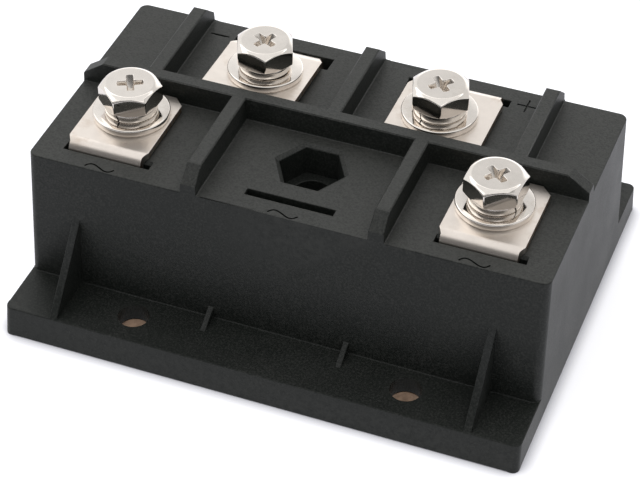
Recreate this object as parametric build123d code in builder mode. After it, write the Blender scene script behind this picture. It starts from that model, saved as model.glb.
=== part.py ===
from build123d import *
from math import cos, radians, tan
import os

# Single-phase bridge rectifier module. Millimetres, Z up, the origin under the middle of the base.
# X runs along the front edge from left to right and Y to the back.

# Overall sizes of the housing
length = 94.0
outer_bay = 13.6
flange_width = 11.5
ledge = 3.765
flange_top = 5.7
terrace = 30.8
rib_top = 35.15
end_draft = 1.0
flange_draft = 7.2
wall_draft = 3.5
flange_corner = 1.2
body_corner = 1.5
foot_gap = 0.1

# Partitions between the terminals
rib_width = 2.55
rib_draft = 2.0
rib_end_run = 3.3
spine_end_run = 3.9
rib_end_drop = 2.7
rib_foot = 0.25
top_edge = 0.2
flange_edge = 0.15
wall_foot = 0.15

# Base plate, set in the underside
plate_thickness = 2.5
skirt = 1.7
plate_clearance = 0.1

# Mounting holes and gussets
hole_pitch_x = 50.0
hole_from_wall = 4.75
hole_diameter = 5.6
gusset_from_end = 9.3
gusset_width = 1.35
gusset_rise = 13.6
wall_rib_x = 12.45
wall_rib_width = 1.0
wall_rib_rise = 2.3
wall_rib_length = 3.9

# Nut pockets
washer_from_spine = 1.975
front_row_step = 0.5
pocket_flats = 10.2
pocket_wall = 3.0
pocket_mouth = 0.75
pocket_mouth_depth = 0.6
pocket_depth = 6.0
screw_well = 6.9
screw_well_depth = 2.6

# Terminal strips and their slots
strip_thickness = 1.2
strip_gap = 0.25
minus_strip_gap = 0.1
minus_strip_tilt = 3.0
bend_inside = 1.0
minus_bend_inside = 2.4
strip_hole = 6.6
front_strip_width = 14.8
rear_strip_width = 17.6
neck_step = 0.7
rear_neck_step = 0.8
neck_start = 2.2
rear_neck_start = 3.2
neck_run = 1.2
strip_corner = 1.8
strip_inner_end = 1.95
slot_clearance = 0.15
slot_edge = 0.5
minus_slot_edge_run = 1.85
minus_slot_edge_drop = 1.7
front_slot_length = 15.8
rear_slot_length = 18.9

# Marks cut into the terraces
mark_depth = 0.4
wave_width = 5.2
wave_height = 1.1
wave_stroke = 0.32
wave_inset = 0.95
pole_mark_size = 3.7
pole_mark_stroke = 0.34
pole_mark_from_rib = 4.2
pole_mark_from_leg = 0.3

# Screws, washers and nuts, size M6
head_flats = 9.7
head_height = 3.9
head_face = 8.9
head_slope = 38.0
head_seat = 9.5
shank_diameter = 5.9
shank_length = 12.0
recess_span = 4.6
recess_width = 1.25
recess_depth = 1.9
spring_outer = 9.2
spring_inner = 6.1
spring_height = 1.55
spring_split = 0.5
washer_outer = 13.5
washer_inner = 6.3
washer_height = 1.2
washer_edge = 0.15
nut_flats = 10.0
nut_height = 5.0
nut_bore = 5.96

# Inside the housing
roof = 20.5
wall = 2.2
substrate_margin = 1.0
substrate_thickness = 0.7
pad_margin = 0.7
pad_gap = 1.0
pad_thickness = 0.3
chip_size = 10.0
chip_thickness = 0.4
clip_width = 7.0
clip_thickness = 0.5
clip_crown = 6.0
clip_foot = 5.0
inner_leg_width = 8.0
inner_leg_drop = 1.5
inner_foot = 5.0
gel_top = 13.5

# How far each strip, and each screw with its washers, nut and pocket, sits beside its even place
strip_shift = {"ac_left": -0.45, "ac_right": -0.35, "minus": -0.4, "plus": 0.05}
screw_shift = {
    "ac_left": (-0.3, 0.6),
    "ac_right": (-0.9, -0.05),
    "minus": (0.2, 0.4),
    "plus": (-0.55, 0.3),
}

# Places that follow from the sizes above
rib_pitch = (length - 2 * outer_bay) / 4
front_x = 2 * rib_pitch
rear_x = rib_pitch
rear_screw_y = rib_width / 2 + washer_from_spine + washer_outer / 2
front_screw_y = rear_screw_y - front_row_step
slot_inner = rear_screw_y + pocket_flats / 2 + pocket_mouth + pocket_wall
slot_width = strip_thickness + 2 * slot_clearance
leg_face = slot_inner + slot_clearance + strip_thickness
body_depth = 2 * (leg_face + ledge + (terrace - flange_top) * tan(radians(wall_draft)))
depth = body_depth + 2 * flange_width
hole_pitch_y = body_depth + 2 * hole_from_wall
gusset_x = length / 2 - gusset_from_end
wall_rib_reach = body_depth / 2 + wall_rib_length
screw_places = {
    "ac_left": (screw_shift["ac_left"][0] - front_x, screw_shift["ac_left"][1] - front_screw_y),
    "ac_right": (screw_shift["ac_right"][0] + front_x, screw_shift["ac_right"][1] - front_screw_y),
    "minus": (screw_shift["minus"][0] - rear_x, screw_shift["minus"][1] + rear_screw_y),
    "plus": (screw_shift["plus"][0] + rear_x, screw_shift["plus"][1] + rear_screw_y),
}
rib_half_foot = rib_width / 2 + (rib_top - terrace) * tan(radians(rib_draft))
beyond = length
rear_ribs = [-2 * rib_pitch, 0, 2 * rib_pitch]
front_ribs = [-rib_pitch, rib_pitch]


def half_length(z):
    return length / 2 - z * tan(radians(end_draft))


def half_body(z):
    return body_depth / 2 - (z - flange_top) * tan(radians(wall_draft))


def half_flange(z):
    return depth / 2 - z * tan(radians(flange_draft))


cavity_half_x = half_length(roof) - wall
cavity_half_y = half_body(roof) - wall


def compartments(ribs, side):
    # Open plan areas between the partitions on one side of the spine
    edges = [-beyond] + [x + s * rib_half_foot for x in ribs for s in (-1, 1)] + [beyond]
    spans = list(zip(edges[0::2], edges[1::2]))
    for left, right in spans:
        with Locations(((left + right) / 2, side * (rib_half_foot + beyond) / 2)):
            Rectangle(right - left, beyond - rib_half_foot)


def wave(width, height, stroke):
    # The sign for alternating current, one period, as a stroke of even width
    half = width / 2
    with BuildSketch() as sign:
        with BuildLine() as path:
            Spline(
                (-half, -height * 0.3),
                (-half * 0.55, height * 0.5),
                (half * 0.55, -height * 0.5),
                (half, height * 0.3),
            )
        trace(path.line, stroke)
    return sign.sketch


# Housing
with BuildPart() as housing:
    with BuildSketch(Plane.XY.offset(flange_top)):
        RectangleRounded(2 * half_length(flange_top), 2 * half_body(flange_top), body_corner)
    with BuildSketch(Plane.XY.offset(rib_top)):
        RectangleRounded(2 * half_length(rib_top), 2 * half_body(rib_top), body_corner)
    loft()
    # Sloped ends of the partitions
    for side in (-1, 1):
        with BuildSketch(Plane.YZ.offset(-length)):
            with BuildLine():
                Polyline(
                    (side * (half_body(terrace) - rib_end_run), rib_top),
                    (side * half_body(terrace), rib_top - rib_end_drop),
                    (side * (half_body(terrace) + rib_end_run), rib_top - 2 * rib_end_drop),
                    (side * (half_body(terrace) + rib_end_run), rib_top + 1),
                    (side * (half_body(terrace) - rib_end_run), rib_top + 1),
                    close=True,
                )
            make_face()
        extrude(amount=2 * length, mode=Mode.SUBTRACT)
        with BuildSketch(Plane.XZ.offset(-depth)):
            with BuildLine():
                Polyline(
                    (side * (half_length(terrace) - spine_end_run), rib_top),
                    (side * half_length(terrace), rib_top - rib_end_drop),
                    (side * (half_length(terrace) + spine_end_run), rib_top - 2 * rib_end_drop),
                    (side * (half_length(terrace) + spine_end_run), rib_top + 1),
                    (side * (half_length(terrace) - spine_end_run), rib_top + 1),
                    close=True,
                )
            make_face()
        extrude(amount=2 * depth, mode=Mode.SUBTRACT)
    # Terraces between the partitions
    with BuildSketch(Plane.XY.offset(terrace)):
        compartments(front_ribs, -1)
        compartments(rear_ribs, 1)
    extrude(amount=rib_top - terrace + 2, taper=-rib_draft, mode=Mode.SUBTRACT)
    level = housing.edges().filter_by_position(Axis.Z, terrace - 0.01, terrace + 0.01)
    inset = 0.3
    feet = [
        e
        for e in level
        if abs(e.center().X) < half_length(terrace) - inset
        and abs(e.center().Y) < half_body(terrace) - inset
    ]
    fillet(feet, rib_foot)
    high = housing.edges().filter_by_position(Axis.Z, rib_top - 0.01, rib_top + 0.01)
    chamfer(high, top_edge)
    # Flanges
    with BuildSketch(Plane.XY.offset(foot_gap)):
        RectangleRounded(2 * half_length(foot_gap), 2 * half_flange(foot_gap), flange_corner)
    flange_side = flange_top - flange_edge
    with BuildSketch(Plane.XY.offset(flange_side)):
        RectangleRounded(2 * half_length(flange_side), 2 * half_flange(flange_side), flange_corner)
    loft()
    with BuildSketch(Plane.XY.offset(flange_side)):
        RectangleRounded(2 * half_length(flange_side), 2 * half_flange(flange_side), flange_corner)
    with BuildSketch(Plane.XY.offset(flange_top)):
        edge_y = half_flange(flange_side) - flange_edge
        RectangleRounded(2 * half_length(flange_top), 2 * edge_y, flange_corner)
    loft()
    # Body, with a small sloped foot where it stands on the flanges
    with BuildSketch(Plane.XY.offset(flange_top)):
        foot_y = half_body(flange_top) + wall_foot
        RectangleRounded(2 * half_length(flange_top), 2 * foot_y, body_corner)
    with BuildSketch(Plane.XY.offset(flange_top + wall_foot)):
        wall_bottom = flange_top + wall_foot
        RectangleRounded(2 * half_length(wall_bottom), 2 * half_body(wall_bottom), body_corner)
    loft()
    # Gussets and small wall ribs
    for side in (-1, 1):
        for x in (-gusset_x, gusset_x):
            with BuildSketch(Plane.YZ.offset(x - gusset_width / 2)):
                with BuildLine():
                    Polyline(
                        (side * (half_body(flange_top) - 2), flange_top - 1),
                        (side * edge_y, flange_top - 1),
                        (side * edge_y, flange_top),
                        (side * half_body(flange_top + gusset_rise), flange_top + gusset_rise),
                        (side * (half_body(flange_top) - 2), flange_top + gusset_rise),
                        close=True,
                    )
                make_face()
            extrude(amount=gusset_width)
        for x in (-wall_rib_x, wall_rib_x):
            with BuildSketch(Plane.YZ.offset(x - wall_rib_width / 2)):
                with BuildLine():
                    Polyline(
                        (side * (half_body(flange_top) - 2), flange_top - 1),
                        (side * wall_rib_reach, flange_top - 1),
                        (side * wall_rib_reach, flange_top),
                        (side * half_body(flange_top + wall_rib_rise), flange_top + wall_rib_rise),
                        (side * (half_body(flange_top) - 2), flange_top + wall_rib_rise),
                        close=True,
                    )
                make_face()
            extrude(amount=wall_rib_width)
    # Seat of the base plate
    with BuildSketch(Plane.XY):
        RectangleRounded(length - 2 * skirt, depth - 2 * skirt, flange_corner)
    extrude(amount=plate_thickness, mode=Mode.SUBTRACT)
    # Cavity
    with BuildSketch(Plane.XY.offset(plate_thickness)):
        RectangleRounded(2 * cavity_half_x, 2 * cavity_half_y, body_corner)
    extrude(amount=roof - plate_thickness, mode=Mode.SUBTRACT)
    # Mounting holes
    with GridLocations(hole_pitch_x, hole_pitch_y, 2, 2):
        Hole(hole_diameter / 2)
    # Nut pockets with sloped mouths, and a well for the end of each screw
    pocket_places = [(0, -front_screw_y), *screw_places.values()]
    pocket_radius = pocket_flats / 2
    with BuildSketch(Plane.XY.offset(terrace)):
        with Locations(*pocket_places):
            RegularPolygon(pocket_radius, 6, major_radius=False)
    extrude(amount=-pocket_depth, mode=Mode.SUBTRACT)
    for place in pocket_places:
        with BuildSketch(Plane.XY.offset(terrace)):
            with Locations(place):
                RegularPolygon(pocket_radius + pocket_mouth, 6, major_radius=False)
        with BuildSketch(Plane.XY.offset(terrace - pocket_mouth_depth)):
            with Locations(place):
                RegularPolygon(pocket_radius, 6, major_radius=False)
        loft(mode=Mode.SUBTRACT)
    with BuildSketch(Plane.XY.offset(terrace - pocket_depth)):
        with Locations(*pocket_places):
            Circle(screw_well / 2)
    extrude(amount=-screw_well_depth, mode=Mode.SUBTRACT)
    # Terminal slots
    slot_y = slot_inner + slot_width / 2
    with BuildSketch(Plane.XY.offset(terrace)):
        with Locations((-front_x, -slot_y), (0, -slot_y), (front_x, -slot_y)):
            Rectangle(front_slot_length, slot_width)
        with Locations((-rear_x, slot_y), (rear_x, slot_y)):
            Rectangle(rear_slot_length, slot_width)
    extrude(amount=-(terrace - roof), mode=Mode.SUBTRACT)
    # The strips are bent over the eased inner edge of their slots
    used_slots = [
        (-front_x, -1, front_slot_length, slot_edge, slot_edge),
        (front_x, -1, front_slot_length, slot_edge, slot_edge),
        (-rear_x, 1, rear_slot_length, minus_slot_edge_run, minus_slot_edge_drop),
        (rear_x, 1, rear_slot_length, slot_edge, slot_edge),
    ]
    for x, side, slot_length, run, drop in used_slots:
        with BuildSketch(Plane.YZ.offset(x)):
            with BuildLine():
                Polyline(
                    (side * slot_inner, terrace - drop),
                    (side * slot_inner, terrace),
                    (side * (slot_inner - run), terrace),
                    close=True,
                )
            make_face()
        extrude(amount=slot_length / 2, both=True, mode=Mode.SUBTRACT)
    # Marks: a wave at each alternating-current place, a plus and a minus
    with BuildSketch(Plane.XY.offset(terrace)):
        with Locations(*[(x, wave_inset - half_body(terrace)) for x in (-front_x, 0, front_x)]):
            add(wave(wave_width, wave_height, wave_stroke))
        with Locations((front_x - pole_mark_from_rib, leg_face - pole_mark_from_leg)):
            SlotOverall(pole_mark_size, pole_mark_stroke)
            SlotOverall(pole_mark_size, pole_mark_stroke, rotation=90)
        with Locations((pole_mark_from_rib - front_x, leg_face - pole_mark_from_leg)):
            SlotOverall(pole_mark_size, pole_mark_stroke)
    extrude(amount=-mark_depth, mode=Mode.SUBTRACT)
housing.part.label = "housing"

# Base plate
with BuildPart() as base_plate:
    with BuildSketch():
        inset = 2 * (skirt + plate_clearance)
        RectangleRounded(length - inset, depth - inset, flange_corner)
    extrude(amount=plate_thickness)
    with GridLocations(hole_pitch_x, hole_pitch_y, 2, 2):
        Hole(hole_diameter / 2)
base_plate.part.label = "base_plate"

# Substrate and the conductor pads on it
substrate_top = plate_thickness + substrate_thickness
pad_top = substrate_top + pad_thickness
substrate_half_x = cavity_half_x - substrate_margin
substrate_half_y = cavity_half_y - substrate_margin
with BuildPart() as substrate:
    with BuildSketch(Plane.XY.offset(plate_thickness)):
        Rectangle(2 * substrate_half_x, 2 * substrate_half_y)
    extrude(amount=substrate_thickness)
substrate.part.label = "substrate"

pad_end = substrate_half_x - pad_margin
pad_split = 1.5 * rib_pitch
pad_spans = {
    "pad_ac_left": (-pad_end, -pad_split - pad_gap / 2),
    "pad_minus": (-pad_split + pad_gap / 2, -pad_gap / 2),
    "pad_plus": (pad_gap / 2, pad_split - pad_gap / 2),
    "pad_ac_right": (pad_split + pad_gap / 2, pad_end),
}


def build_pad(name):
    left, right = pad_spans[name]
    with BuildPart() as pad:
        with BuildSketch(Plane.XY.offset(substrate_top)):
            with Locations(((left + right) / 2, 0)):
                RectangleRounded(right - left, 2 * (substrate_half_y - pad_margin), 0.5)
        extrude(amount=pad_thickness)
    pad.part.label = name
    return pad.part


pads = [build_pad(name) for name in pad_spans]

# Diodes: the middle of each chip, and where its clip lands on the next pad
diodes = {
    "minus_left": (-2 * rib_pitch, 8.0, -1.2 * rib_pitch),
    "minus_right": (2 * rib_pitch, -2.0, -0.35 * rib_pitch),
    "plus_left": (0.5 * rib_pitch, -10.0, -1.75 * rib_pitch),
    "plus_right": (rib_pitch, 8.0, 1.75 * rib_pitch),
}


def build_chip(name):
    x, y, landing = diodes[name]
    with BuildPart() as chip:
        with BuildSketch(Plane.XY.offset(pad_top)):
            with Locations((x, y)):
                Rectangle(chip_size, chip_size)
        extrude(amount=chip_thickness)
    chip.part.label = "chip_" + name
    return chip.part


def build_clip(name):
    # A bent strip from the top of the chip over to the next pad
    x, y, landing = diodes[name]
    toward = 1 if landing > x else -1
    chip_foot = pad_top + chip_thickness + clip_thickness / 2
    pad_foot = pad_top + clip_thickness / 2
    rise = clip_crown - chip_foot
    fall = clip_crown - pad_foot
    with BuildPart() as clip:
        with BuildSketch(Plane.XZ.offset(-y)):
            with BuildLine() as path:
                FilletPolyline(
                    (x - toward * clip_foot / 2, chip_foot),
                    (x + toward * clip_foot / 2, chip_foot),
                    (x + toward * (clip_foot / 2 + rise), clip_crown),
                    (landing - toward * (clip_foot / 2 + fall), clip_crown),
                    (landing - toward * clip_foot / 2, pad_foot),
                    (landing + toward * clip_foot / 2, pad_foot),
                    radius=clip_thickness,
                )
            trace(path.line, clip_thickness)
        extrude(amount=clip_width / 2, both=True)
    clip.part.label = "clip_" + name
    return clip.part


chips = [build_chip(name) for name in diodes]
clips = [build_clip(name) for name in diodes]

# Terminal strips: middle, side of the spine, flat width, neck's step and start, then the gap under
# the bend, the upward tilt of the flat towards the spine and the inside radius of the bend
front_strip = (front_strip_width, neck_step, neck_start)
rear_strip = (rear_strip_width, rear_neck_step, rear_neck_start)
level = (strip_gap, 0, bend_inside)
terminals = {
    "ac_left": (strip_shift["ac_left"] - front_x, -1, *front_strip, *level),
    "ac_right": (strip_shift["ac_right"] + front_x, -1, *front_strip, *level),
    "minus": (
        strip_shift["minus"] - rear_x,
        1,
        *rear_strip,
        minus_strip_gap,
        minus_strip_tilt,
        minus_bend_inside,
    ),
    "plus": (strip_shift["plus"] + rear_x, 1, *rear_strip, *level),
}
strip_middle = strip_thickness / 2
leg_middle = leg_face - strip_middle


def strip_rise(name, reach):
    # Height of the strip's middle surface over the terrace, at this distance from the spine's middle
    gap, tilt = terminals[name][5:7]
    return gap + strip_middle + (leg_middle - reach) * tan(radians(tilt))


def build_terminal(name):
    x, side, width, step, start, gap, tilt, bend = terminals[name]
    leg_y = side * leg_middle
    leg_turn = roof - inner_leg_drop
    screw_x, screw_y = screw_places[name]
    with BuildPart() as terminal:
        # Flat, bend and leg at full width
        with BuildSketch(Plane.YZ.offset(x)):
            with BuildLine() as path:
                FilletPolyline(
                    (side * strip_inner_end, terrace + strip_rise(name, strip_inner_end)),
                    (leg_y, terrace + strip_rise(name, leg_middle)),
                    (leg_y, leg_turn),
                    radius=bend + strip_middle,
                )
            trace(path.line, strip_thickness)
        extrude(amount=width / 2, both=True)
        # Corners of the free end cut off
        with BuildSketch(Plane.XY.offset(leg_turn)):
            for end in (-1, 1):
                with BuildLine():
                    Polyline(
                        (x + end * (width / 2 - strip_corner - 1), side * (strip_inner_end - 1)),
                        (x + end * (width / 2 + 1), side * (strip_inner_end - 1)),
                        (x + end * (width / 2 + 1), side * (strip_inner_end + strip_corner + 1)),
                        close=True,
                    )
                make_face()
        extrude(amount=2 * (terrace - leg_turn), mode=Mode.SUBTRACT)
        # Corners beside the bend cut away down to the neck
        with BuildSketch(Plane.XY.offset(leg_turn)):
            for end in (-1, 1):
                with BuildLine():
                    Polyline(
                        (x + end * (width / 2 + 1), side * (leg_face - start)),
                        (x + end * width / 2, side * (leg_face - start)),
                        (x + end * (width / 2 - step), side * (leg_face - start + neck_run)),
                        (x + end * (width / 2 - step), side * (leg_face + 1)),
                        (x + end * (width / 2 + 1), side * (leg_face + 1)),
                        close=True,
                    )
                make_face()
        extrude(amount=2 * (terrace - leg_turn), mode=Mode.SUBTRACT)
        # Narrow leg down to its foot on the pad
        with BuildSketch(Plane.YZ.offset(x)):
            with BuildLine() as path:
                FilletPolyline(
                    (leg_y, leg_turn),
                    (leg_y, pad_top + strip_middle),
                    (leg_y - side * inner_foot, pad_top + strip_middle),
                    radius=bend_inside + strip_middle,
                )
            trace(path.line, strip_thickness)
        extrude(amount=inner_leg_width / 2, both=True)
        with BuildSketch(Plane.XY.offset(terrace)):
            with Locations((screw_x, screw_y)):
                Circle(strip_hole / 2)
        extrude(amount=3 * strip_thickness, mode=Mode.SUBTRACT)
    terminal.part.label = "terminal_" + name
    return terminal.part


strips = [build_terminal(name) for name in terminals]

# Fasteners of each terminal: turn of the head, of its recess and of the washer's split
turns = {
    "ac_left": (22.0, 27.0, -96.5),
    "ac_right": (25.0, 50.5, -26.9),
    "minus": (52.2, 63.6, 100.0),
    "plus": (48.2, 44.5, -119.0),
}


def build_washer(name, x, y, bottom, lean):
    # It lies on the strip, so it leans as the strip does
    with BuildPart() as washer:
        with BuildSketch(Plane(origin=(x, y, bottom), x_dir=(1, 0, 0), z_dir=(0, lean, 1))):
            Circle(washer_outer / 2)
            Circle(washer_inner / 2, mode=Mode.SUBTRACT)
        extrude(amount=washer_height)
        rim = washer.edges().filter_by(GeomType.CIRCLE)
        chamfer([e for e in rim if e.radius > washer_outer / 2 - 0.01], washer_edge)
    washer.part.label = "washer_" + name
    return washer.part


def build_spring(name, x, y, bottom, split):
    with BuildPart() as spring:
        with BuildSketch(Plane.XY.offset(bottom)):
            with Locations((x, y)):
                Circle(spring_outer / 2)
                Circle(spring_inner / 2, mode=Mode.SUBTRACT)
        extrude(amount=spring_height)
        rim = spring.edges().filter_by(GeomType.CIRCLE)
        chamfer([e for e in rim if e.radius > spring_outer / 2 - 0.01], washer_edge)
        # Slanted split
        with Locations(Location((x, y, bottom + spring_height / 2), (0, 0, split))):
            with Locations(Location((spring_outer / 2, 0, 0), (20, 0, 0))):
                Box(spring_outer, spring_split, 3 * spring_height, mode=Mode.SUBTRACT)
    spring.part.label = "spring_washer_" + name
    return spring.part


def build_screw(name, x, y, seat, turn, recess_turn):
    slope = tan(radians(head_slope))
    reach = 0.6 * head_flats
    with BuildPart() as screw:
        with BuildSketch(Plane.XY.offset(seat)):
            with Locations((x, y)):
                RegularPolygon(head_flats / 2, 6, major_radius=False, rotation=turn)
        extrude(amount=head_height)
        with BuildSketch(Plane.XZ.offset(-y)):
            with BuildLine():
                Polyline(
                    (x, seat),
                    (x + head_seat / 2, seat),
                    (x + reach, seat + (reach - head_seat / 2) * 0.6),
                    (x + reach, seat + head_height - (reach - head_face / 2) * slope),
                    (x + head_face / 2, seat + head_height),
                    (x, seat + head_height),
                    close=True,
                )
            make_face()
        revolve(axis=Axis((x, y, 0), (0, 0, 1)), mode=Mode.INTERSECT)
        with BuildSketch(Plane.XY.offset(seat)):
            with Locations((x, y)):
                Circle(shank_diameter / 2)
        extrude(amount=-shank_length)
        tip = seat - shank_length
        chamfer(screw.edges().filter_by_position(Axis.Z, tip - 0.01, tip + 0.01), 0.7)
        # Cross recess
        with BuildSketch(Plane.XY.offset(seat + head_height)):
            with Locations((x, y)):
                Rectangle(recess_span, recess_width, rotation=recess_turn)
                Rectangle(recess_width, recess_span, rotation=recess_turn)
        extrude(amount=-recess_depth, taper=8, mode=Mode.SUBTRACT)
    screw.part.label = "screw_" + name
    return screw.part


def build_nut(name, x, y, top):
    with BuildPart() as nut:
        with BuildSketch(Plane.XY.offset(top - nut_height)):
            with Locations((x, y)):
                RegularPolygon(nut_flats / 2, 6, major_radius=False)
                Circle(nut_bore / 2, mode=Mode.SUBTRACT)
        extrude(amount=nut_height)
    nut.part.label = "nut_" + name
    return nut.part


fasteners = []
for name, (turn, recess_turn, split) in turns.items():
    x, y = screw_places[name]
    side, tilt = terminals[name][1], radians(terminals[name][6])
    middle = terrace + strip_rise(name, abs(y))
    strip_top = middle + strip_middle / cos(tilt)
    spring_bottom = strip_top + washer_height / cos(tilt) + spring_outer / 2 * tan(tilt)
    nut_top = middle - strip_middle / cos(tilt) - nut_flats / 2 * tan(tilt)
    fasteners += [
        build_nut(name, x, y, nut_top),
        build_washer(name, x, y, strip_top, side * tan(tilt)),
        build_spring(name, x, y, spring_bottom, split),
        build_screw(name, x, y, spring_bottom + spring_height, turn, recess_turn),
    ]


def build_filling(name, bottom, top, around):
    # Cast in place, so it takes the shape of the cavity and of what stands in it
    with BuildPart() as filling:
        with BuildSketch(Plane.XY.offset(bottom)):
            RectangleRounded(2 * cavity_half_x, 2 * cavity_half_y, body_corner)
        extrude(amount=top - bottom)
        for part in around:
            add(part, mode=Mode.SUBTRACT)
    filling.part.label = name
    return filling.part


inner_pieces = [substrate.part] + pads + chips + clips
fillings = [
    build_filling("gel", plate_thickness, gel_top, inner_pieces + strips),
    build_filling("potting", gel_top, roof, strips),
]

os.makedirs("parts", exist_ok=True)
for part in [housing.part, base_plate.part] + inner_pieces + strips + fasteners + fillings:
    export_step(part, "parts/" + part.label + ".step")
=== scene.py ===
"""Bridge rectifier module: finishes, turned metal pieces and a plain studio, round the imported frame."""

from math import atan2, ceil, cos, pi, radians, sin, tan

import bmesh
import bpy
from mathutils import Matrix, Vector


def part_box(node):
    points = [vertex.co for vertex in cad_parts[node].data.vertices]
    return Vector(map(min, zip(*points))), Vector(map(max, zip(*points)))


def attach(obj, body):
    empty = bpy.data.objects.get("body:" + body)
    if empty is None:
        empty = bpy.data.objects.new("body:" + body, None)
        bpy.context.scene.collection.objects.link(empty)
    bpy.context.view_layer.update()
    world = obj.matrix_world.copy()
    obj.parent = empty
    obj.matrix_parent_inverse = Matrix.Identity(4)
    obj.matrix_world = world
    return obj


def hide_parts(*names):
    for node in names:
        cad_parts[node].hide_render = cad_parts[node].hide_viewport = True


bl_info = {
    "name": "Bridge rectifier module",
    "version": (1, 0, 0),
    "blender": (4, 5, 0),
    "location": "View3D > Sidebar > Rectifier",
    "description": "Builds the pieces, finishes and studio of a screw-terminal bridge rectifier module",
    "category": "Object",
}

MM = 0.001

# Turn of each terminal's screw head, of its cross recess and of its spring washer's split, in degrees
TERMINALS = {
    "ac_left": (22.0, 27.0, -96.5),
    "ac_right": (25.0, 50.5, -26.9),
    "minus": (52.2, 63.6, 100.0),
    "plus": (48.2, 44.5, -119.0),
}
# The minus strip and the flat washer on it lean back by this much
MINUS_TILT = radians(3.0)

# Cleaning of a frame node's mesh: points that are one, faces that are flat, points too close to round
WELD = 0.002 * MM
FLAT = radians(1)
MERGE = 0.02 * MM
# Edges that turn less than this are the moulding's own chamfers, and aren't rounded again
CHAMFERED = radians(50)

WHITE = (1.0, 1.0, 1.0, 1.0)
EVEN = (1.0, 1.0, 1.0)

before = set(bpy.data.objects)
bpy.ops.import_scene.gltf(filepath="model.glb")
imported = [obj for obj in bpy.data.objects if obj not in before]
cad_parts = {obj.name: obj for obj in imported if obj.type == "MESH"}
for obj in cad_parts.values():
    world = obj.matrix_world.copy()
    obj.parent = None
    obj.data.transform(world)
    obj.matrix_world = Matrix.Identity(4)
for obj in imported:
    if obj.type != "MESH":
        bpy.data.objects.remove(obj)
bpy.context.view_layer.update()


# Settings


def length_value(name, description, default, low=0.0):
    return bpy.props.FloatProperty(
        name=name, description=description, subtype="DISTANCE", unit="LENGTH", default=default, min=low
    )


def angle_value(name, description, degrees):
    return bpy.props.FloatProperty(
        name=name, description=description, subtype="ANGLE", unit="ROTATION", default=radians(degrees)
    )


def color_value(name, description, *channels):
    return bpy.props.FloatVectorProperty(
        name=name, description=description, subtype="COLOR", size=4,
        default=(*channels, 1.0), min=0.0, max=1.0,
    )


class HousingSettings(bpy.types.PropertyGroup):
    plastic_color: color_value("Plastic", "Colour of the moulded housing", 0.0088, 0.0107, 0.0092)
    # The pale film colour is also painted onto high upward faces as painted top light.
    dust_and_top_light_color: color_value("Pale film", "Colour of the faint film on raised places", 0.039, 0.040, 0.037)
    edge_ease: length_value("Edge easing", "How far the moulded edges are rounded", 0.16 * MM)
    grain_size: length_value("Grain", "Size of one pit of the moulded grain", 0.36 * MM, 0.01 * MM)


class MetalSettings(bpy.types.PropertyGroup):
    plate_color: color_value("Nickel", "Colour of the bright plate on screws and washers", 0.80, 0.752, 0.70)
    strip_color: color_value("Strip plate", "Colour of the warmer plate on the strips", 0.78, 0.715, 0.655)
    strip_edge_color: color_value("Cut edge", "Colour of the sheared copper edges", 0.36, 0.22, 0.13)
    copper_color: color_value("Copper", "Colour of the base plate and inner conductors", 0.34, 0.235, 0.165)
    strip_ease: length_value("Strip edge easing", "How far the strips' edges are rounded", 0.1 * MM)
    plate_ease: length_value("Base plate easing", "How far the base plate's edges are rounded", 0.15 * MM)


class FastenerSettings(bpy.types.PropertyGroup):
    head_flats: length_value("Head across flats", "Width of the screw head over its flats", 9.7 * MM)
    head_face: length_value("Head face", "Diameter of the flat on top of the screw head", 8.9 * MM)
    head_seat: length_value("Head seat", "Diameter of the seat under the screw head", 9.5 * MM)
    head_slope: angle_value("Head slope", "Slope of the cone round the head's face", 38.0)
    head_corner: length_value("Head corner", "Rounding of the head's six upright edges", 0.3 * MM)
    recess_span: length_value("Recess span", "Length of the cross recess over two wings", 4.6 * MM)
    recess_depth: length_value("Recess depth", "Depth of the cross recess", 1.9 * MM)
    thread_pitch: length_value("Thread pitch", "Rise of the screw thread in one turn", 1.0 * MM)
    washer_outer: length_value("Washer outside", "Outside diameter of the flat washer", 13.5 * MM)
    washer_inner: length_value("Washer hole", "Hole of the flat washer", 6.3 * MM)
    spring_outer: length_value("Spring washer outside", "Outside diameter of the spring washer", 9.2 * MM)
    spring_inner: length_value("Spring washer hole", "Inside diameter of the spring washer", 6.1 * MM)


class StudioSettings(bpy.types.PropertyGroup):
    azimuth: angle_value("Azimuth", "Camera's way round the object", 20.559)
    elevation: angle_value("Elevation", "Camera's height above the horizon", 40.905)
    roll: angle_value("Roll", "Camera's turn about its own axis", 0.51)
    distance: length_value("Distance", "From the camera to the point it looks at", 397.47 * MM)
    target: bpy.props.FloatVectorProperty(
        name="Target", description="Point the camera looks at", subtype="XYZ", unit="LENGTH",
        default=(1.985 * MM, -10.17 * MM, 15.0 * MM),
    )
    focal_length: bpy.props.FloatProperty(
        name="Focal length", description="Lens, in millimetres on a 36 mm sensor", default=128.56, min=1.0
    )
    lens_shift: bpy.props.FloatVectorProperty(
        name="Lens shift", description="Offset of the lens, in picture widths", size=2,
        default=(-0.0010, -0.0002),
    )
    key_power: bpy.props.FloatProperty(
        name="Overhead power", description="Power of the large soft light above", unit="POWER", default=5.65
    )


def settings(name):
    return getattr(bpy.context.scene, name)


# Meshes


def mesh_object(name, build):
    """A new mesh object in the scene, from a bmesh that is freed here."""
    data = bpy.data.meshes.new(name)
    build.to_mesh(data)
    build.free()
    piece = bpy.data.objects.new(name, data)
    bpy.context.scene.collection.objects.link(piece)
    return piece


def smooth_by_angle(piece, angle):
    piece.data.shade_smooth()
    piece.data.set_sharp_from_angle(angle=angle)


def bake_modifiers(piece):
    """Turn the piece's modifiers into its mesh."""
    depsgraph = bpy.context.evaluated_depsgraph_get()
    data = bpy.data.meshes.new_from_object(piece.evaluated_get(depsgraph))
    piece.modifiers.clear()
    piece.data = data
    data.name = piece.name


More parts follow.
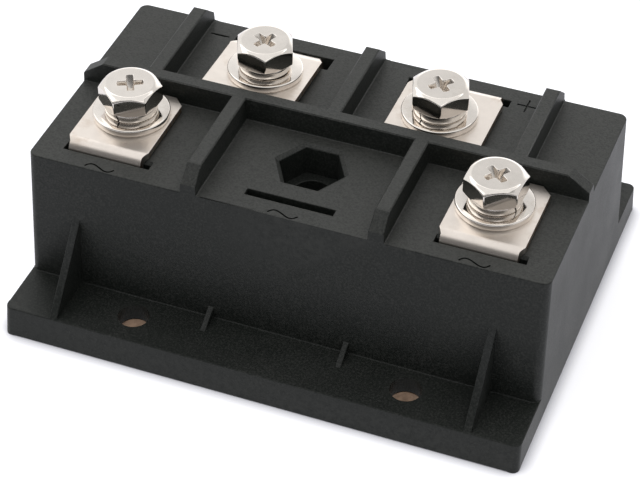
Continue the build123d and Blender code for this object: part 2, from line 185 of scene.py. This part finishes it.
def even_shading(piece, angle):
    """Smooth shading that keeps the large flat faces flat."""
    smooth_by_angle(piece, angle)
    even = piece.modifiers.new("Even Shading", "WEIGHTED_NORMAL")
    even.keep_sharp = True
    bake_modifiers(piece)


def outer_edges(build):
    """Edges that stick out and aren't chamfered yet."""
    return [edge for edge in build.edges if edge.is_convex and edge.calc_face_angle(0) > CHAMFERED]


def eased_copy(node, name, ease, room):
    """A copy of a frame node with its flat faces joined and its outer edges rounded, where they have room."""
    build = bmesh.new()
    build.from_mesh(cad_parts[node].data)
    bmesh.ops.remove_doubles(build, verts=build.verts, dist=WELD)
    bmesh.ops.dissolve_limit(build, angle_limit=FLAT, verts=build.verts, edges=build.edges)
    bmesh.ops.remove_doubles(build, verts=build.verts, dist=MERGE)
    build.normal_update()
    weights = build.edges.layers.float.new("bevel_weight_edge")
    # A short edge has no room, so a long edge that meets one is rounded up to a little way before it
    tight = {vertex for edge in build.edges if edge.calc_length() < room for vertex in edge.verts}
    long_edge, stop = 5 * room, 1.5 * room
    for edge in outer_edges(build):
        for end in list(edge.verts):
            if end in tight and edge.calc_length() > long_edge:
                bmesh.utils.edge_split(edge, end, stop / edge.calc_length())
    for edge in outer_edges(build):
        if not tight.intersection(edge.verts):
            edge[weights] = 1.0
    piece = mesh_object(name, build)
    rounding = piece.modifiers.new("Rounding", "BEVEL")
    rounding.width = ease
    rounding.segments = 2
    rounding.limit_method = "WEIGHT"
    rounding.use_clamp_overlap = False
    rounding.miter_outer = "MITER_SHARP"
    bake_modifiers(piece)
    even_shading(piece, angle=radians(20))
    return piece


def add_ring(build, points):
    return [build.verts.new(point) for point in points]


def join_rings(build, rings):
    """Faces between rings of points that follow each other."""
    for first, second in zip(rings, rings[1:]):
        count = len(first)
        for i in range(count):
            j = (i + 1) % count
            build.faces.new((first[i], first[j], second[j], second[i]))


def skin_rings(build, rings):
    """A closed skin over rings of points, with a face on the first and the last."""
    join_rings(build, rings)
    build.faces.new(rings[0])
    build.faces.new(rings[-1])
    bmesh.ops.recalc_face_normals(build, faces=build.faces)


def lathe(build, profile, segments):
    """Turn a closed profile of (radius, height) points about the z axis."""
    steps = [2 * pi * i / segments for i in range(segments)]
    rings = [add_ring(build, [(r * cos(a), r * sin(a), z) for a in steps]) for r, z in profile]
    join_rings(build, rings + rings[:1])
    bmesh.ops.recalc_face_normals(build, faces=build.faces)


def rounded_section(inner, outer, low, high, roundings, steps):
    """A rectangle of (radius, height) points with its corners rounded, from the bottom outer corner round."""
    corners = (
        (outer, low, -1, 1, -90), (outer, high, -1, -1, 0), (inner, high, 1, -1, 90), (inner, low, 1, 1, 180),
    )
    points = []
    for (r, z, out, up, start), rounding in zip(corners, roundings):
        for step in range(steps + 1):
            turn = radians(start + 90 * step / steps)
            middle = (r + out * rounding, z + up * rounding)
            points.append((middle[0] + rounding * cos(turn), middle[1] + rounding * sin(turn)))
    return points


def middle_of(node):
    low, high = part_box(node)
    return (low + high) / 2


def dress(data, *materials):
    data.materials.clear()
    for material in materials:
        data.materials.append(material)


def dress_nodes(material, *nodes):
    for node in nodes:
        dress(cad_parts[node].data, material)


def place(piece, slot, *nodes):
    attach(piece, "root")
    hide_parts(*nodes)


# Shader helpers


def feed(tree, socket, value):
    """Link another node's output into the socket, or set a plain value on it."""
    if isinstance(value, bpy.types.NodeSocket):
        tree.links.new(value, socket)
    else:
        socket.default_value = value


def new_group(name, inputs, outputs):
    """An empty node group with the named sockets, and its input and output nodes."""
    group = bpy.data.node_groups.new(name, "ShaderNodeTree")
    for label, kind, default in inputs:
        socket = group.interface.new_socket(label, in_out="INPUT", socket_type=kind)
        socket.default_value = default
    for label, kind in outputs:
        group.interface.new_socket(label, in_out="OUTPUT", socket_type=kind)
    return group, group.nodes.new("NodeGroupInput"), group.nodes.new("NodeGroupOutput")


def add_noise(tree, vector, scale, detail, roughness=0.5):
    noise = tree.nodes.new("ShaderNodeTexNoise")
    noise.inputs["Scale"].default_value = scale
    noise.inputs["Detail"].default_value = detail
    noise.inputs["Roughness"].default_value = roughness
    tree.links.new(vector, noise.inputs["Vector"])
    return noise.outputs["Fac"]


def add_range(tree, value, low, high, out_low=0.0, out_high=1.0):
    node = tree.nodes.new("ShaderNodeMapRange")
    limits = {"From Min": low, "From Max": high, "To Min": out_low, "To Max": out_high}
    for label, limit in limits.items():
        feed(tree, node.inputs[label], limit)
    tree.links.new(value, node.inputs["Value"])
    return node.outputs["Result"]


def add_math(tree, operation, first, second):
    node = tree.nodes.new("ShaderNodeMath")
    node.operation = operation
    feed(tree, node.inputs[0], first)
    feed(tree, node.inputs[1], second)
    return node.outputs["Value"]


def add_mix(tree, factor, first, second):
    node = tree.nodes.new("ShaderNodeMix")
    node.data_type = "RGBA"
    tree.links.new(factor, node.inputs["Factor"])
    feed(tree, node.inputs["A"], first)
    feed(tree, node.inputs["B"], second)
    return node.outputs["Result"]


def add_vector_math(tree, operation, vector, socket, value):
    node = tree.nodes.new("ShaderNodeVectorMath")
    node.operation = operation
    tree.links.new(vector, node.inputs[0])
    tree.links.new(value, node.inputs[socket])
    return node.outputs["Vector"]


def add_split(tree, vector):
    node = tree.nodes.new("ShaderNodeSeparateXYZ")
    tree.links.new(vector, node.inputs["Vector"])
    return node.outputs


def grain_group():
    """Pits of a spark-eroded mould: an even fine grain and slow patches of stronger and weaker polish."""
    inputs = [("Vector", "NodeSocketVector", (0, 0, 0)), ("Pit Size", "NodeSocketFloat", 0.36 * MM)]
    outputs = [("Height", "NodeSocketFloat"), ("Patches", "NodeSocketFloat")]
    group, source, sink = new_group("Moulded Grain", inputs, outputs)
    frequency = add_math(group, "DIVIDE", 1.0, source.outputs["Pit Size"])
    scaled = add_vector_math(group, "SCALE", source.outputs["Vector"], "Scale", frequency)
    group.links.new(add_noise(group, scaled, 1.0, 3.0, 0.6), sink.inputs["Height"])
    group.links.new(add_noise(group, source.outputs["Vector"], 90.0, 4.0, 0.6), sink.inputs["Patches"])
    return group


def wear_group():
    """Pale rubbing on edges that stick out, broken up by noise."""
    inputs = [
        ("Vector", "NodeSocketVector", (0, 0, 0)),
        ("Low", "NodeSocketFloat", 0.52),
        ("High", "NodeSocketFloat", 0.62),
    ]
    group, source, sink = new_group("Edge Rub", inputs, [("Mask", "NodeSocketFloat")])
    geometry = group.nodes.new("ShaderNodeNewGeometry")
    low, high = source.outputs["Low"], source.outputs["High"]
    rubbed = add_range(group, geometry.outputs["Pointiness"], low, high)
    broken = add_range(group, add_noise(group, source.outputs["Vector"], 900.0, 3.0, 0.7), 0.35, 0.6)
    group.links.new(add_math(group, "MULTIPLY", rubbed, broken), sink.inputs["Mask"])
    return group


def scratch_group():
    """Hairlines and slow waves of rolled or tumbled plate."""
    inputs = [("Vector", "NodeSocketVector", (0, 0, 0)), ("Stretch", "NodeSocketVector", EVEN)]
    outputs = [("Height", "NodeSocketFloat"), ("Haze", "NodeSocketFloat")]
    group, source, sink = new_group("Plate Hairlines", inputs, outputs)
    stretched = add_vector_math(group, "MULTIPLY", source.outputs["Vector"], 1, source.outputs["Stretch"])
    group.links.new(add_noise(group, stretched, 3000.0, 3.0, 0.65), sink.inputs["Height"])
    group.links.new(add_noise(group, source.outputs["Vector"], 260.0, 4.0, 0.6), sink.inputs["Haze"])
    return group


def group_node(tree, name, vector):
    makers = {"Moulded Grain": grain_group, "Edge Rub": wear_group, "Plate Hairlines": scratch_group}
    node = tree.nodes.new("ShaderNodeGroup")
    node.node_tree = bpy.data.node_groups.get(name) or makers[name]()
    tree.links.new(vector, node.inputs["Vector"])
    return node


def new_material(name):
    """A material with an empty tree but for its shader, and the object coordinates to build on."""
    material = bpy.data.materials.new(name)
    material.use_nodes = True
    tree = material.node_tree
    tree.nodes.clear()
    output = tree.nodes.new("ShaderNodeOutputMaterial")
    shader = tree.nodes.new("ShaderNodeBsdfPrincipled")
    tree.links.new(shader.outputs["BSDF"], output.inputs["Surface"])
    coordinates = tree.nodes.new("ShaderNodeTexCoord")
    return material, tree, shader, coordinates.outputs["Object"]


def add_bump(tree, shader, height, distance):
    bump = tree.nodes.new("ShaderNodeBump")
    bump.inputs["Distance"].default_value = distance
    tree.links.new(height, bump.inputs["Height"])
    tree.links.new(bump.outputs["Normal"], shader.inputs["Normal"])


def darker(color, share):
    return tuple(share * channel for channel in color[:3]) + (1.0,)


# Materials


def moulded_plastic():
    """Black plastic under a pale film: patches, painted top light that makes high upward faces paler, specks
    and rubbed edges.
    """
    values = settings("housing_settings")
    material, tree, shader, position = new_material("black_plastic")
    grain = group_node(tree, "Moulded Grain", position)
    grain.inputs["Pit Size"].default_value = values.grain_size
    rub = group_node(tree, "Edge Rub", position)
    normal = tree.nodes.new("ShaderNodeNewGeometry").outputs["Normal"]
    # Painted top light: faces that point up, high on the housing, are painted with the pale colour, as if lit
    # from above.
    upward = add_range(tree, add_split(tree, normal)["Z"], 0.5, 0.95, 0.0, 0.66)
    raised = add_range(tree, add_split(tree, position)["Z"], 26 * MM, 30 * MM)
    painted_top_light = add_math(tree, "MULTIPLY", upward, raised)
    patches = add_range(tree, grain.outputs["Patches"], 0.35, 0.7, 0.0, 0.22)
    specks = add_range(tree, grain.outputs["Height"], 0.3, 0.7, -0.4, 0.5)
    film_and_top_light = add_math(tree, "ADD", add_math(tree, "ADD", patches, painted_top_light), specks)
    pale = add_math(tree, "MAXIMUM", film_and_top_light, add_math(tree, "MULTIPLY", rub.outputs["Mask"], 0.5))
    color = add_mix(tree, pale, tuple(values.plastic_color), tuple(values.dust_and_top_light_color))
    gloss = add_range(tree, grain.outputs["Patches"], 0.3, 0.7, 0.42, 0.5)
    tree.links.new(color, shader.inputs["Base Color"])
    tree.links.new(gloss, shader.inputs["Roughness"])
    shader.inputs["Specular IOR Level"].default_value = 0.25
    add_bump(tree, shader, grain.outputs["Height"], 0.035 * MM)
    return material


def hairline_metal(name, stretch, relief):
    """A bare metal material with hairlines, and the node that gives their height and haze."""
    material, tree, shader, position = new_material(name)
    lines = group_node(tree, "Plate Hairlines", position)
    lines.inputs["Stretch"].default_value = stretch
    shader.inputs["Metallic"].default_value = 1.0
    add_bump(tree, shader, lines.outputs["Height"], relief)
    return material, tree, shader, position, lines


def nickel_plate(name, plate, roughness, stretch, relief, stain):
    """Bright plate in two shades, with brown stains."""
    material, tree, shader, position, lines = hairline_metal(name, stretch, relief)
    haze = lines.outputs["Haze"]
    color = add_mix(tree, add_range(tree, haze, 0.35, 0.7), tuple(plate), darker(plate, 0.9))
    brown = (0.6 * plate[0], 0.5 * plate[1], 0.4 * plate[2], 1.0)
    stained = add_range(tree, add_noise(tree, position, 190.0, 6.0, 0.68), 0.56, 0.74, 0.0, stain)
    tree.links.new(add_mix(tree, stained, color, brown), shader.inputs["Base Color"])
    tree.links.new(add_range(tree, haze, 0.3, 0.7, *roughness), shader.inputs["Roughness"])
    return material


def copper(name, roughness):
    """Dull copper, tarnished in patches."""
    bright = tuple(settings("metal_settings").copper_color)
    material, tree, shader, _, lines = hairline_metal(name, (0.1, 1.0, 1.0), 0.003 * MM)
    haze = lines.outputs["Haze"]
    color = add_mix(tree, add_range(tree, haze, 0.35, 0.65), bright, darker(bright, 0.45))
    duller = add_range(tree, haze, 0.3, 0.7, roughness, roughness + 0.15)
    tree.links.new(color, shader.inputs["Base Color"])
    tree.links.new(duller, shader.inputs["Roughness"])
    return material


def cut_edge():
    """Sheared strip edge: copper with torn, darkened plate over it."""
    values = settings("metal_settings")
    material, tree, shader, _, lines = hairline_metal("strip_cut_edge", (1.0, 1.0, 0.15), 0.01 * MM)
    torn = add_range(tree, lines.outputs["Height"], 0.42, 0.6)
    color = add_mix(tree, torn, tuple(values.strip_edge_color), darker(values.plate_color, 0.6))
    tree.links.new(color, shader.inputs["Base Color"])
    shader.inputs["Roughness"].default_value = 0.38
    return material


def plain_inner(name, color, roughness, scale, metallic=0.0, alpha=1.0):
    """Finish of a sealed-in piece: its colour in two shades, with a fine surface."""
    material, tree, shader, position = new_material(name)
    mottle = add_noise(tree, position, scale, 4.0)
    shade = add_mix(tree, add_range(tree, mottle, 0.35, 0.65), (*color, 1.0), darker(color, 0.75))
    gloss = add_range(tree, mottle, 0.3, 0.7, roughness, roughness + 0.1)
    tree.links.new(shade, shader.inputs["Base Color"])
    tree.links.new(gloss, shader.inputs["Roughness"])
    shader.inputs["Metallic"].default_value = metallic
    shader.inputs["Alpha"].default_value = alpha
    add_bump(tree, shader, add_noise(tree, position, 6000.0, 2.0), 0.004 * MM)
    return material


# Pieces


class RECTIFIER_OT_housing(bpy.types.Operator):
    """Dress the moulded housing: eased edges and moulded grain"""

    bl_idname = "rectifier.housing"
    bl_label = "Housing"

    def execute(self, context):
        values = settings("housing_settings")
        shell = eased_copy("housing", "moulded_housing", values.edge_ease, 0.45 * MM)
        dress(shell.data, moulded_plastic())
        place(shell, "black_plastic", "housing")
        return {"FINISHED"}


class RECTIFIER_OT_strips(bpy.types.Operator):
    """Dress the four terminal strips: eased edges, bright plate and copper cut edges"""

    bl_idname = "rectifier.strips"
    bl_label = "Terminal strips"

    def execute(self, context):
        values = settings("metal_settings")
        rolled, relief = (1.0, 0.12, 1.0), 0.0015 * MM
        plate = nickel_plate("strip_plate", values.strip_color, (0.28, 0.38), rolled, relief, 0.45)
        edge = cut_edge()
        for terminal in TERMINALS:
            node = "terminal_" + terminal
            strip = eased_copy(node, "strip_" + terminal, values.strip_ease, 0.3 * MM)
            dress(strip.data, plate, edge)
            # The sheared sides face along X
            for face in strip.data.polygons:
                if abs(face.normal.x) > 0.9:
                    face.material_index = 1
            place(strip, "nickel_strip", node)
        return {"FINISHED"}


class RECTIFIER_OT_washers(bpy.types.Operator):
    """Make the stamped flat washers and the split spring washers"""

    bl_idname = "rectifier.washers"
    bl_label = "Washers"

    def execute(self, context):
        values = settings("fastener_settings")
        color = settings("metal_settings").plate_color
        flat = nickel_plate("washer_plate", color, (0.07, 0.14), EVEN, 0.0008 * MM, 0.25)
        spring = nickel_plate("spring_plate", color, (0.1, 0.2), (1.0, 1.0, 4.0), 0.0012 * MM, 0.25)
        for terminal, (_, _, split) in TERMINALS.items():
            tilt = MINUS_TILT if terminal == "minus" else 0.0
            self.make_flat(values, terminal, tilt, flat)
            self.make_spring(values, terminal, radians(split), spring)
        return {"FINISHED"}

    def finish(self, name, build, material, slot, node):
        washer = mesh_object(name, build)
        smooth_by_angle(washer, angle=radians(40))
        dress(washer.data, material)
        place(washer, slot, node)

    def make_flat(self, values, terminal, tilt, material):
        node = "washer_" + terminal
        low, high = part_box(node)
        half = (high.z - low.z - values.washer_outer * sin(tilt)) / cos(tilt) / 2
        inner, outer = values.washer_inner / 2, values.washer_outer / 2
        # Stamped from above: bottom outer, top outer, top inner and bottom inner corner
        roundings = (0.12 * MM, 0.26 * MM, 0.2 * MM, 0.08 * MM)
        build = bmesh.new()
        lathe(build, rounded_section(inner, outer, -half, half, roundings, steps=4), segments=144)
        turn = Matrix.Translation(middle_of(node)) @ Matrix.Rotation(-tilt, 4, "X")
        bmesh.ops.transform(build, matrix=turn, verts=build.verts)
        self.finish("flat_washer_" + terminal, build, material, "nickel_washer", node)

    def make_spring(self, values, terminal, split, material):
        """A ring that is cut at a slant, with its ends a little apart and one higher than the other."""
        node = "spring_washer_" + terminal
        low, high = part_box(node)
        axis = middle_of("screw_" + terminal)
        inner, outer = values.spring_inner / 2, values.spring_outer / 2
        spare, rounding, rise = 0.03 * MM, 0.22 * MM, 0.05 * MM
        section = rounded_section(inner, outer, low.z + spare, high.z - spare, (rounding,) * 4, steps=3)
        middle, gap, slant, steps = (low.z + high.z) / 2, 0.15 * MM / outer, radians(20), 120
        build = bmesh.new()
        rings = []
        for step in range(steps + 1):
            share = step / steps
            around = split + gap + share * (2 * pi - 2 * gap)
            lift = (share - 0.5) * rise
            ring = []
            for r, z in section:
                turn = around - tan(slant) * (z - middle) / outer
                ring.append((axis.x + r * cos(turn), axis.y + r * sin(turn), z + lift))
            rings.append(add_ring(build, ring))
        skin_rings(build, rings)
        self.finish("split_washer_" + terminal, build, material, "nickel_spring", node)


def corner_of_hexagon(flats, corner):
    """How far out the centre of a corner's rounding lies, and the angle that half the rounding takes up."""
    centre = (flats / 2 - corner) / cos(pi / 6)
    return centre, atan2(corner * sin(pi / 6), centre + corner * cos(pi / 6))


def hexagon_reach(angle, flats, corner):
    """How far a hexagon with rounded corners reaches, at this angle from one of its corners."""
    from_corner = (angle + pi / 6) % (pi / 3) - pi / 6
    centre, rounded_to = corner_of_hexagon(flats, corner)
    if abs(from_corner) > rounded_to:
        return flats / 2 / cos(pi / 6 - abs(from_corner))
    return centre * cos(from_corner) + (corner**2 - (centre * sin(from_corner)) ** 2) ** 0.5


def hexagon_angles(corner_span):
    """Angles round a hexagon: close together at its corners, even along its flats."""
    near = [corner_span * share for share in (-1, -0.5, 0, 0.5, 1)]
    along = [corner_span + (pi / 3 - 2 * corner_span) * share / 9 for share in range(1, 9)]
    return [side * pi / 3 + angle for side in range(6) for angle in near + along]


def cross_outline(reach, half_width, fillet):
    """A four-winged recess seen from above, its inner corners filleted and its wings' ends rounded."""
    inner_corner = half_width + fillet
    wing = []
    for swing in (radians(angle) for angle in (-60, -30, 0, 30, 60)):
        end = reach - 0.35 * half_width * (1 - cos(swing))
        wing.append((end, half_width * sin(swing) / sin(radians(60))))
    for swing in (radians(angle) for angle in (15, 30, 45, 60, 75)):
        wing.append((inner_corner - fillet * sin(swing), inner_corner - fillet * cos(swing)))
    turns = [i * pi / 2 for i in range(4)]
    return [(x * cos(t) - y * sin(t), x * sin(t) + y * cos(t)) for t in turns for x, y in wing]


class RECTIFIER_OT_screws(bpy.types.Operator):
    """Make the hexagon-head screws with their cross recesses and threads, and finish the nuts"""

    bl_idname = "rectifier.screws"
    bl_label = "Screws and nuts"

    def execute(self, context):
        values = settings("fastener_settings")
        color = settings("metal_settings").plate_color
        bright = nickel_plate("screw_plate", color, (0.05, 0.12), EVEN, 0.0008 * MM, 0.15)
        dull = nickel_plate("recess_plate", color, (0.2, 0.28), EVEN, 0.002 * MM, 0.3)
        for terminal, (turn, recess_turn, _) in TERMINALS.items():
            node = "screw_" + terminal
            axis = middle_of(node)
            low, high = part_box(node)
            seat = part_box("spring_washer_" + terminal)[1].z
            head = self.make_head(values, axis, seat, high.z, radians(turn), node)
            self.cut_recess(values, head, axis, high.z, radians(recess_turn))
            self.add_shank(values, head, axis, low.z, seat)
            dress(head.data, bright, dull)
            self.dull_recess(values, head, axis, high.z)
            place(head, "nickel_screw", node)
        dress_nodes(bright, *["nut_" + terminal for terminal in TERMINALS])
        return {"FINISHED"}

    def make_head(self, values, axis, seat, top, turn, node):
        """The head as levels of rings: face, blend, cone, six flats and seat."""
        flats, corner = values.head_flats, values.head_corner
        face, seat_reach, slope = values.head_face / 2, values.head_seat / 2, tan(values.head_slope)
        angles = hexagon_angles(corner_of_hexagon(flats, corner)[1])
        reaches = [hexagon_reach(angle, flats, corner) for angle in angles]
        blend, ease, under_slope = 0.4 * MM, 0.1 * MM, 0.6
        levels = []
        for share in (0.0, 0.25, 0.5, 0.75, 1.0):
            r = face + blend * ((share - 1) * (1 - share) + share * share * cos(values.head_slope))
            levels.append([(r, top - blend * share * share * sin(values.head_slope))] * len(angles))
        cone = [(reach, top - (reach - face) * slope) for reach in reaches]
        under = [(reach, seat + max(0.0, reach - seat_reach) * under_slope) for reach in reaches]
        levels.append([(reach - ease, z + ease * slope) for reach, z in cone])
        levels.append([(reach - 0.25 * ease, z - 0.2 * ease) for reach, z in cone])
        levels.append([(reach, z - ease) for reach, z in cone])
        levels.append([(reach, z + 1.2 * ease) for reach, z in under])
        levels.append([(reach - 0.25 * ease, z + 0.45 * ease) for reach, z in under])
        levels.append([(seat_reach, seat + 0.4 * ease)] * len(angles))
        levels.append([(seat_reach - ease, seat)] * len(angles))
        build = bmesh.new()
        rings = []
        for level in levels:
            ring = []
            for angle, (r, z) in zip(angles, level):
                ring.append((axis.x + r * cos(angle + turn), axis.y + r * sin(angle + turn), z))
            rings.append(add_ring(build, ring))
        skin_rings(build, rings)
        return mesh_object(node.replace("screw", "hex_screw"), build)

    def cut_recess(self, values, head, axis, top, turn):
        span, depth = values.recess_span / 2, values.recess_depth
        # Height over the face, flare of the rim in mm, share of the span, half the width of a wing in mm
        shapes = (
            (0.1 * MM, 0.22, 1.0, 0.62),
            (0.0, 0.1, 1.0, 0.62),
            (-0.03 * MM, 0.04, 1.0, 0.62),
            (-0.1 * MM, 0.0, 1.0, 0.62),
            (-0.35 * depth, 0.0, 0.84, 0.55),
            (-0.7 * depth, 0.0, 0.62, 0.46),
            (-depth, 0.0, 0.4, 0.36),
        )
        build = bmesh.new()
        rings = []
        for z, flare, reach, half_width in shapes:
            fillet = 0.6 * half_width * MM * reach
            ring = []
            for x, y in cross_outline(reach * span + flare * MM, (half_width + flare) * MM, fillet):
                turned = (x * cos(turn) - y * sin(turn), x * sin(turn) + y * cos(turn))
                ring.append((axis.x + turned[0], axis.y + turned[1], top + z))
            rings.append(add_ring(build, ring))
        skin_rings(build, rings)
        cutter = mesh_object("recess_cutter", build)
        cut = head.modifiers.new("Recess", "BOOLEAN")
        cut.operation = "DIFFERENCE"
        cut.solver = "EXACT"
        cut.object = cutter
        bake_modifiers(head)
        bpy.data.objects.remove(cutter)

    def add_shank(self, values, head, axis, low, seat):
        """A threaded shank with a plain neck and a pointed tip, from inside the head down."""
        build = bmesh.new()
        build.from_mesh(head.data)
        pitch, crest, root, around, fine = values.thread_pitch, 2.95 * MM, 2.42 * MM, 48, 8
        neck, neck_inset, tip, crest_flat = 0.9 * MM, 0.1 * MM, 0.7 * MM, 1.25
        start = seat + 0.4 * MM
        rings = []
        for level in range(ceil((start - low) / pitch * fine) + 1):
            z = max(low, start - level * pitch / fine)
            ring = []
            for i in range(around):
                wave = (z / pitch + i / around) % 1.0
                reach = root + (crest - root) * min(1.0, crest_flat * abs(2 * wave - 1))
                reach = min(reach, crest - tip + (z - low))
                if z > seat - neck:
                    reach = crest - neck_inset
                turn = 2 * pi * i / around
                ring.append((axis.x + reach * cos(turn), axis.y + reach * sin(turn), z))
            rings.append(add_ring(build, ring))
        skin_rings(build, rings)
        build.to_mesh(head.data)
        build.free()
        even_shading(head, angle=radians(35))

    def dull_recess(self, values, head, axis, top):
        """The walls and floor of the recess take the duller plate."""
        spare, lip = 0.1 * MM, 0.02 * MM
        for face in head.data.polygons:
            inside = (face.center.xy - axis.xy).length < values.recess_span / 2 + spare
            if inside and top - values.recess_depth - spare < face.center.z < top - lip:
                face.material_index = 1


class RECTIFIER_OT_inside(bpy.types.Operator):
    """Finish the base plate and the sealed-in pieces"""

    bl_idname = "rectifier.inside"
    bl_label = "Base plate and inner pieces"

    def execute(self, context):
        values = settings("metal_settings")
        plate = eased_copy("base_plate", "heat_spreader", values.plate_ease, 0.35 * MM)
        dress(plate.data, copper("base_copper", 0.3))
        place(plate, "copper_plate", "base_plate")
        conductors = [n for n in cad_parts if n.startswith(("pad_", "clip_"))]
        dress_nodes(copper("inner_copper", 0.35), *conductors)
        dress_nodes(plain_inner("alumina", (0.78, 0.78, 0.74), 0.5, 400.0), "substrate")
        chips = [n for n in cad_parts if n.startswith("chip_")]
        dress_nodes(plain_inner("silicon_die", (0.08, 0.085, 0.1), 0.2, 300.0, metallic=0.8), *chips)
        dress_nodes(plain_inner("silicone_gel", (0.7, 0.7, 0.66), 0.1, 60.0, alpha=0.55), "gel")
        dress_nodes(plain_inner("potting_resin", (0.02, 0.02, 0.022), 0.35, 120.0), "potting")
        return {"FINISHED"}


# Studio


def camera_axes(azimuth, elevation, roll):
    """Right, up and back directions of a camera at these angles."""
    back = Vector((sin(azimuth) * cos(elevation), -cos(azimuth) * cos(elevation), sin(elevation)))
    level = Vector((cos(azimuth), sin(azimuth), 0))
    upright = back.cross(level)
    right = cos(roll) * level + sin(roll) * upright
    up = -sin(roll) * level + cos(roll) * upright
    return right, up, back


def ray_kinds(tree):
    """Factors that are 1 for rays from the camera, and for mirrored or refracted rays."""
    path = tree.nodes.new("ShaderNodeLightPath")
    bounced = add_math(tree, "MAXIMUM", path.outputs["Is Glossy Ray"], path.outputs["Is Transmission Ray"])
    return path.outputs["Is Camera Ray"], bounced


class RECTIFIER_OT_studio(bpy.types.Operator):
    """Make the pale floor, the soft light, the white surroundings and the camera"""

    bl_idname = "rectifier.studio"
    bl_label = "Studio"

    def execute(self, context):
        values = settings("studio_settings")
        self.make_floor()
        self.make_world()
        self.make_camera(values)
        self.make_lamp(values)
        context.scene.view_settings.view_transform = "Standard"
        return {"FINISHED"}

    def make_floor(self):
        """A matte floor that also glows for the camera, with a painted contact shadow: it glows less where
        the module stands on it.
        """
        build = bmesh.new()
        bmesh.ops.create_grid(build, x_segments=1, y_segments=1, size=3.0)
        floor = mesh_object("floor", build)
        material, tree, shader, _ = new_material("studio_floor")
        shader.inputs["Base Color"].default_value = (0.66, 0.66, 0.71, 1.0)
        shader.inputs["Roughness"].default_value = 0.9
        shader.inputs["Specular IOR Level"].default_value = 0.0
        shader.inputs["Emission Color"].default_value = WHITE
        camera_ray, bounced = ray_kinds(tree)
        # Painted contact shadow: ambient occlusion turns the camera glow down near the module's foot.
        painted_contact_shade = tree.nodes.new("ShaderNodeAmbientOcclusion")
        painted_contact_shade.inputs["Distance"].default_value = 3 * MM
        glow_with_painted_shadow = add_range(tree, painted_contact_shade.outputs["AO"], 0.45, 0.95, 0.0, 0.585)
        seen = add_math(tree, "MULTIPLY", camera_ray, glow_with_painted_shadow)
        mirrored = add_math(tree, "MULTIPLY", bounced, 0.4)
        tree.links.new(add_math(tree, "MAXIMUM", seen, mirrored), shader.inputs["Emission Strength"])
        dress(floor.data, material)

    def make_world(self):
        """White for the camera, softer as light. Mirrored rays see a room with bright and dark sides."""
        world = bpy.data.worlds.new("studio")
        bpy.context.scene.world = world
        world.use_nodes = True
        tree = world.node_tree
        background = tree.nodes["Background"]
        background.inputs["Color"].default_value = WHITE
        coordinates = tree.nodes.new("ShaderNodeTexCoord")
        way = add_split(tree, coordinates.outputs["Generated"])
        # Mirrored: brighter on the left and behind, dark low in front, dim round the overhead lamp
        sideways = add_range(tree, way["X"], -0.45, -0.2, 1.05, 0.82)
        behind = add_range(tree, way["Y"], 0.78, 0.95, 1.0, 2.2)
        front = add_range(tree, way["Y"], -0.25, -0.6, 0.0, 0.85)
        low = add_range(tree, way["Z"], 0.82, 0.64)
        room = add_math(tree, "SUBTRACT", 1.0, add_math(tree, "MULTIPLY", front, low))
        beside_lamp = add_range(tree, way["Z"], 0.74, 0.84, 1.0, 0.12)
        in_mirrors = sideways
        for factor in (behind, room, beside_lamp):
            in_mirrors = add_math(tree, "MULTIPLY", in_mirrors, factor)
        camera_ray, bounced = ray_kinds(tree)
        mirrored = add_math(tree, "MULTIPLY", bounced, in_mirrors)
        seen = add_math(tree, "MAXIMUM", camera_ray, mirrored)
        others = add_math(tree, "MAXIMUM", camera_ray, bounced)
        scattered = add_range(tree, others, 0.0, 1.0, 0.65, 0.0)
        tree.links.new(add_math(tree, "MAXIMUM", seen, scattered), background.inputs["Strength"])

    def make_camera(self, values):
        data = bpy.data.cameras.new("camera")
        data.sensor_width = 36.0
        data.lens = values.focal_length
        data.shift_x, data.shift_y = values.lens_shift
        data.clip_start = 0.01
        camera = bpy.data.objects.new("camera", data)
        right, up, back = camera_axes(values.azimuth, values.elevation, values.roll)
        turn = Matrix((right, up, back)).transposed().to_4x4()
        camera.matrix_world = Matrix.Translation(Vector(values.target) + back * values.distance) @ turn
        bpy.context.scene.collection.objects.link(camera)
        bpy.context.scene.camera = camera

    def make_lamp(self, values):
        """One large soft lamp overhead, a little to the left, that shines straight down."""
        data = bpy.data.lights.new("overhead", "AREA")
        data.shape = "RECTANGLE"
        data.size, data.size_y = 1.6, 1.2
        data.energy = values.key_power
        lamp = bpy.data.objects.new("overhead", data)
        lamp.location = (-0.25, 0.05, 0.8)
        bpy.context.scene.collection.objects.link(lamp)


class RECTIFIER_PT_panel(bpy.types.Panel):
    bl_idname = "RECTIFIER_PT_panel"
    bl_label = "Rectifier module"
    bl_space_type = "VIEW_3D"
    bl_region_type = "UI"
    bl_category = "Rectifier"

    def draw(self, context):
        for operator in OPERATORS:
            self.layout.operator(operator.bl_idname)


SETTINGS = {
    "housing_settings": HousingSettings,
    "metal_settings": MetalSettings,
    "fastener_settings": FastenerSettings,
    "studio_settings": StudioSettings,
}
OPERATORS = (
    RECTIFIER_OT_housing,
    RECTIFIER_OT_strips,
    RECTIFIER_OT_washers,
    RECTIFIER_OT_screws,
    RECTIFIER_OT_inside,
    RECTIFIER_OT_studio,
)


def register():
    for group in SETTINGS.values():
        bpy.utils.register_class(group)
    for operator in OPERATORS:
        bpy.utils.register_class(operator)
    bpy.utils.register_class(RECTIFIER_PT_panel)
    for name, group in SETTINGS.items():
        setattr(bpy.types.Scene, name, bpy.props.PointerProperty(type=group))


def unregister():
    for name in SETTINGS:
        delattr(bpy.types.Scene, name)
    bpy.utils.unregister_class(RECTIFIER_PT_panel)
    for operator in reversed(OPERATORS):
        bpy.utils.unregister_class(operator)
    for group in reversed(list(SETTINGS.values())):
        bpy.utils.unregister_class(group)


def main():
    register()
    for operator in OPERATORS:
        category, name = operator.bl_idname.split(".")
        getattr(getattr(bpy.ops, category), name)()


if __name__ == "__main__":
    main()
